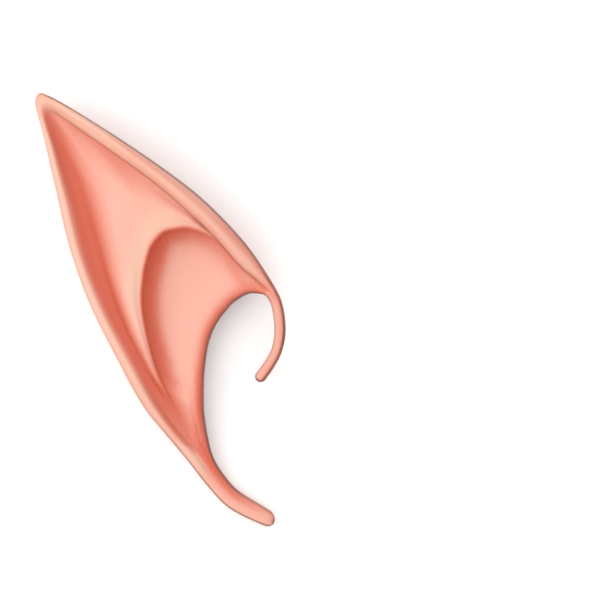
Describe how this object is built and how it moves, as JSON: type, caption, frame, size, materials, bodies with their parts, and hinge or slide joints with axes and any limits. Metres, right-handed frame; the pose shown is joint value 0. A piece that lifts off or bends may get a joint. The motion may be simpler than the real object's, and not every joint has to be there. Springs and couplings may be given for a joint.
{
  "type": "latex cosplay ear",
  "caption": "Slip-on pointed ear: a thin moulded shell with a rolled helix rim, hollow concha, open pocket behind, thin hook at the front and tapering lobe tail.",
  "frame": {"origin": "centre of the bounding box's bottom face, on the surface that the back skin rests on", "axes": "+Y from the lobe tail towards the tip, +X towards the hook, +Z out of the carved face"},
  "size_m": [0.0692, 0.12, 0.022],
  "materials": {
    "latex": "matt peach latex, air-brushed red-orange in the hollows"
  },
  "bodies": {
    "root": {"ear_shell": "latex"}
  },
  "joints": []
}
